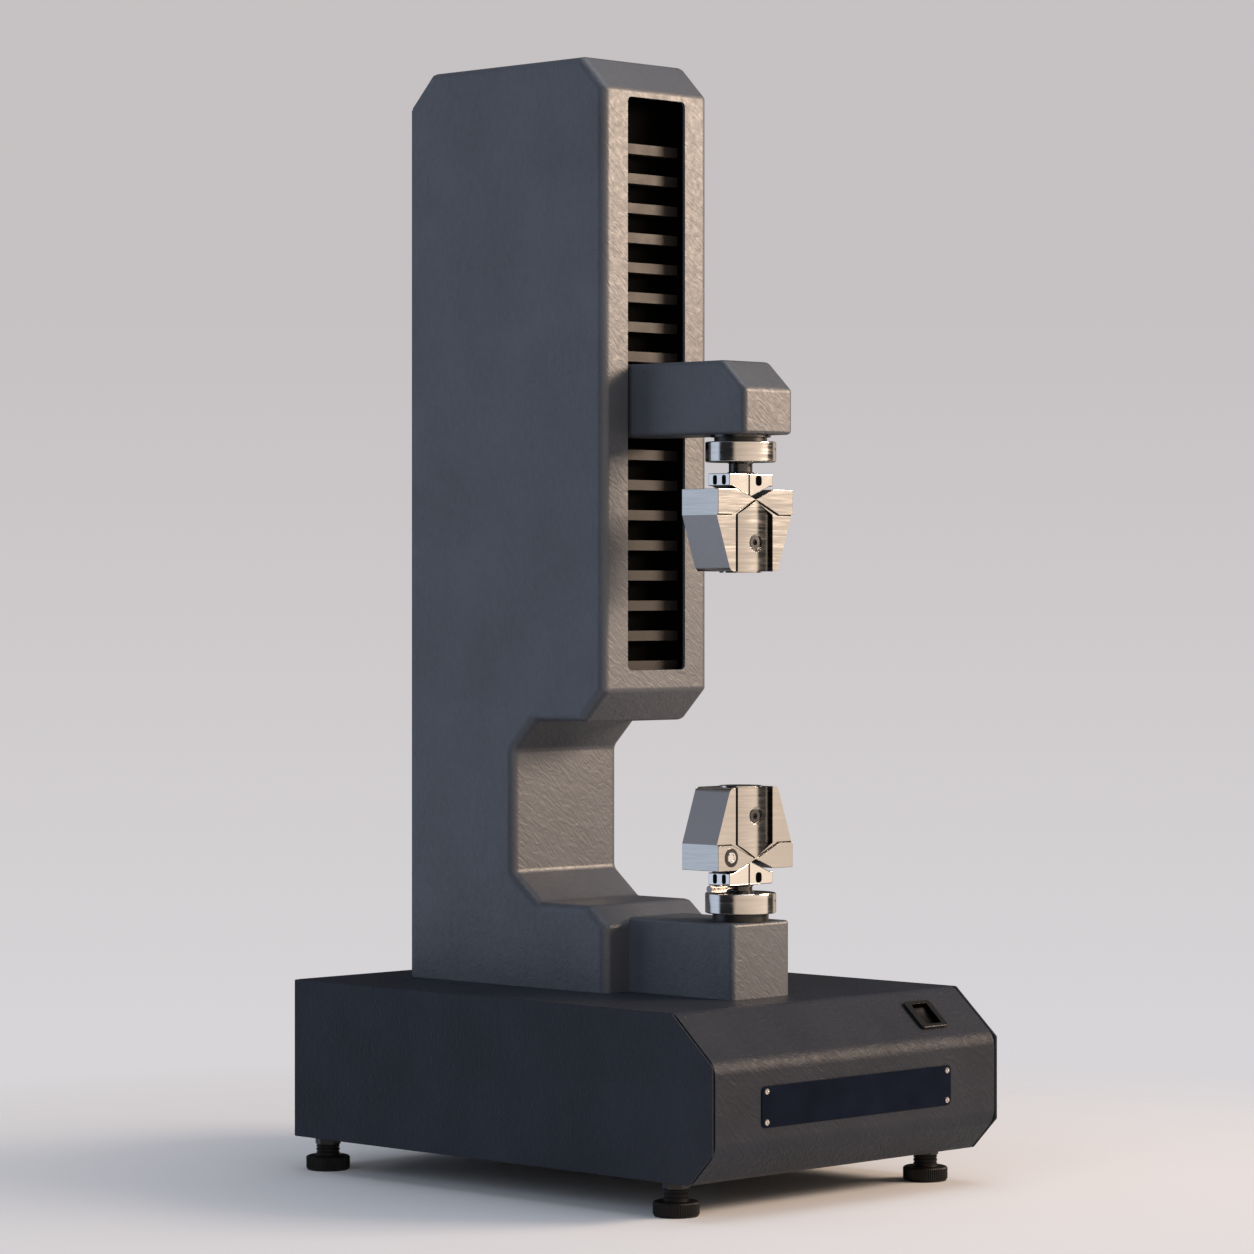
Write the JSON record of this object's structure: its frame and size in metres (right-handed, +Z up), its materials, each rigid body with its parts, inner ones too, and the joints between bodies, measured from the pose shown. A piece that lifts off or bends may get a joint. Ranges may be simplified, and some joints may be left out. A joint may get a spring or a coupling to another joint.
{
  "type": "strength testing machine",
  "caption": "Bench tensile tester: dark base and column, motor-driven arm in a bellows slot, and two swivelling steel sample grips on one axis.",
  "frame": {"origin": "on the floor under the middle of the base", "axes": "+Z up, +X to the machine's right, +Y towards its back, so the front faces -Y"},
  "size_m": [0.4, 0.5686, 1.079],
  "materials": {
    "dark_textured_paint": "textured powder coat",
    "bare_sheet_steel": "zinc plated",
    "bright_steel": "ground",
    "polished_steel": "polished",
    "brushed_grip_steel": "fine brushed",
    "black_fitting": "black anodised",
    "bellows_cloth": "coated cloth",
    "black_plastic": "moulded",
    "data_shield": "bright",
    "foot_rubber": "moulded",
    "belt_rubber": "matt",
    "dark_plate": "anodised, bare",
    "circuit_board": "solder mask"
  },
  "bodies": {
    "machine_frame": {"base_tray": "bare_sheet_steel", "base_cover": "dark_textured_paint", "left_side_panel": "dark_textured_paint", "right_side_panel": "dark_textured_paint", "rear_panel": "dark_textured_paint", "cover_screws": "bright_steel", "deck_plate": "bare_sheet_steel", "deck_posts": "bare_sheet_steel", "name_plate": "dark_plate", "plate_rivets": "bright_steel", "switch_bezel": "black_plastic", "power_inlet": "black_plastic", "data_port": "data_shield", "power_supply": "black_fitting", "control_board": "circuit_board", "motor_body": "black_fitting", "motor_bracket": "bare_sheet_steel", "drive_belt": "belt_rubber", "column_shell": "dark_textured_paint", "column_rear_cover": "dark_textured_paint", "column_spine": "bare_sheet_steel", "guide_rails": "bright_steel", "bearing_blocks": "bright_steel", "limit_switches": "black_fitting", "bellows_frame": "black_fitting", "upper_bellows": "bellows_cloth", "lower_bellows": "bellows_cloth", "lower_block": "dark_textured_paint", "block_post": "bare_sheet_steel", "base_disc": "black_fitting", "lower_adapter": "polished_steel"},
    "lower_ring": {"lower_lock_ring": "polished_steel"},
    "lower_thumb": {"lower_thumb_screw": "bright_steel"},
    "lower_grip": {"lower_grip_body": "brushed_grip_steel", "lower_grip_pins": "polished_steel", "lower_rear_jaw": "polished_steel"},
    "lower_jaw": {"lower_front_jaw": "polished_steel"},
    "lower_clamp": {"lower_clamp_screw": "polished_steel"},
    "crosshead": {"rail_carriages": "bright_steel", "carriage_plate": "bare_sheet_steel", "nut_housing": "bare_sheet_steel", "ball_nut": "bright_steel", "crosshead_arm": "dark_textured_paint", "load_cell": "black_fitting", "load_cell_flange": "polished_steel", "upper_adapter": "polished_steel"},
    "upper_ring": {"upper_lock_ring": "polished_steel"},
    "upper_grip": {"upper_grip_body": "brushed_grip_steel", "upper_grip_pin": "polished_steel", "upper_rear_jaw": "polished_steel"},
    "upper_jaw": {"upper_front_jaw": "polished_steel"},
    "upper_clamp": {"upper_clamp_screw": "polished_steel"},
    "screw": {"ball_screw": "bright_steel"},
    "rotor": {"motor_rotor": "bright_steel"},
    "rocker": {"switch_rocker": "black_plastic"},
    "front_left_foot": {"front_left_foot": "foot_rubber"},
    "front_right_foot": {"front_right_foot": "foot_rubber"},
    "rear_left_foot": {"rear_left_foot": "foot_rubber"},
    "rear_right_foot": {"rear_right_foot": "foot_rubber"}
  },
  "joints": [
    {"name": "crosshead_slide", "type": "slide", "parent": "machine_frame", "child": "crosshead", "axis": [0, 0, 1], "range_m": [-0.195, 0.235], "deforming": ["upper_bellows", "lower_bellows"]},
    {"name": "screw_turn", "type": "hinge", "parent": "machine_frame", "child": "screw", "pos_m": [-0.026, 0.1165, 0.5], "axis": [0, 0, 1], "range_deg": [-7021, 8461]},
    {"name": "motor_turn", "type": "hinge", "parent": "machine_frame", "child": "rotor", "pos_m": [0.086, 0.1165, 0.15], "axis": [0, 0, 1], "range_deg": [-7021, 8461]},
    {"name": "lower_ring_turn", "type": "hinge", "parent": "machine_frame", "child": "lower_ring", "pos_m": [-0.026, -0.1555, 0.27], "axis": [0, 0, 1], "range_deg": [0, 360]},
    {"name": "lower_thumb_turn", "type": "hinge", "parent": "machine_frame", "child": "lower_thumb", "pos_m": [-0.06, -0.1555, 0.2894], "axis": [1, 0, 0], "range_deg": [0, 180]},
    {"name": "lower_grip_swivel", "type": "hinge", "parent": "machine_frame", "child": "lower_grip", "pos_m": [-0.026, -0.1555, 0.3252], "axis": [0, 1, 0], "range_deg": [-4, 4]},
    {"name": "lower_jaw_slide", "type": "slide", "parent": "lower_grip", "child": "lower_jaw", "axis": [0, -1, 0], "range_m": [0, 0.005]},
    {"name": "lower_clamp_turn", "type": "hinge", "parent": "lower_jaw", "child": "lower_clamp", "pos_m": [-0.026, -0.1555, 0.3572], "axis": [0, 1, 0], "range_deg": [0, 1201]},
    {"name": "upper_ring_turn", "type": "hinge", "parent": "crosshead", "child": "upper_ring", "pos_m": [-0.026, -0.1555, 0.7], "axis": [0, 0, 1], "range_deg": [0, 360]},
    {"name": "upper_grip_swivel", "type": "hinge", "parent": "crosshead", "child": "upper_grip", "pos_m": [-0.026, -0.1555, 0.6466], "axis": [0, 1, 0], "range_deg": [-4, 4]},
    {"name": "upper_jaw_slide", "type": "slide", "parent": "upper_grip", "child": "upper_jaw", "axis": [0, -1, 0], "range_m": [0, 0.005]},
    {"name": "upper_clamp_turn", "type": "hinge", "parent": "upper_jaw", "child": "upper_clamp", "pos_m": [-0.026, -0.1555, 0.6146], "axis": [0, 1, 0], "range_deg": [0, 1201]},
    {"name": "switch_rock", "type": "hinge", "parent": "machine_frame", "child": "rocker", "pos_m": [0.1225, -0.25314, 0.16146], "axis": [1, 0, 0], "range_deg": [-14, 0]},
    {"name": "front_left_foot_turn", "type": "hinge", "parent": "machine_frame", "child": "front_left_foot", "pos_m": [-0.174, -0.213, 0.01], "axis": [0, 0, 1], "range_deg": [-180, 180]},
    {"name": "front_right_foot_turn", "type": "hinge", "parent": "machine_frame", "child": "front_right_foot", "pos_m": [0.174, -0.213, 0.01], "axis": [0, 0, 1], "range_deg": [-180, 180]},
    {"name": "rear_left_foot_turn", "type": "hinge", "parent": "machine_frame", "child": "rear_left_foot", "pos_m": [-0.174, 0.261, 0.01], "axis": [0, 0, 1], "range_deg": [-180, 180]},
    {"name": "rear_right_foot_turn", "type": "hinge", "parent": "machine_frame", "child": "rear_right_foot", "pos_m": [0.174, 0.261, 0.01], "axis": [0, 0, 1], "range_deg": [-180, 180]}
  ],
  "couplings": [
    {"joint": "screw_turn", "follows": "crosshead_slide", "rad_per_m": 628.32},
    {"joint": "motor_turn", "follows": "crosshead_slide", "rad_per_m": 628.32},
    {"joint": "lower_clamp_turn", "follows": "lower_jaw_slide", "rad_per_m": 4188.8},
    {"joint": "upper_clamp_turn", "follows": "upper_jaw_slide", "rad_per_m": 4188.8}
  ]
}
